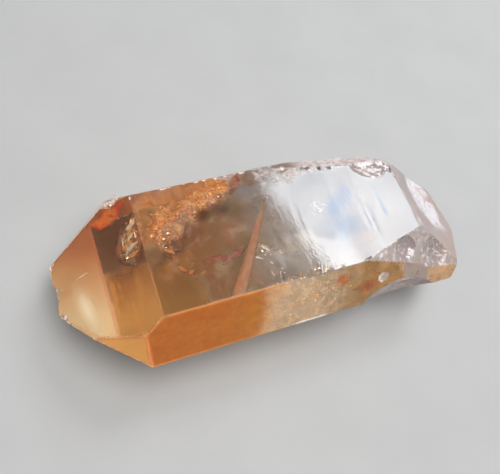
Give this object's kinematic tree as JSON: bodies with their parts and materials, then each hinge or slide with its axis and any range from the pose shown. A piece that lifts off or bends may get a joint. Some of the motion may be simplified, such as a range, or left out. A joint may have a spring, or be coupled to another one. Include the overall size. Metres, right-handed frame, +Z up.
{
  "type": "tangerine quartz crystal",
  "caption": "Loose single quartz crystal, clear with an orange iron stain, lying on a prism face: chisel-shaped natural tip, flat prism sides and a shell-like broken base.",
  "frame": {"origin": "under the middle of the stone, on the plane of the prism face that it rests on", "axes": "+X along the crystal's long axis towards the broken base, so the natural tip points to -X; +Z up, out of the wide top prism face"},
  "size_m": [0.0504, 0.0232, 0.0148],
  "materials": {
    "iron_stained_quartz": "clear quartz with an orange iron-oxide stain, glassy flat faces and shell-like breaks"
  },
  "bodies": {
    "root": {"quartz_crystal": "iron_stained_quartz"}
  },
  "joints": []
}
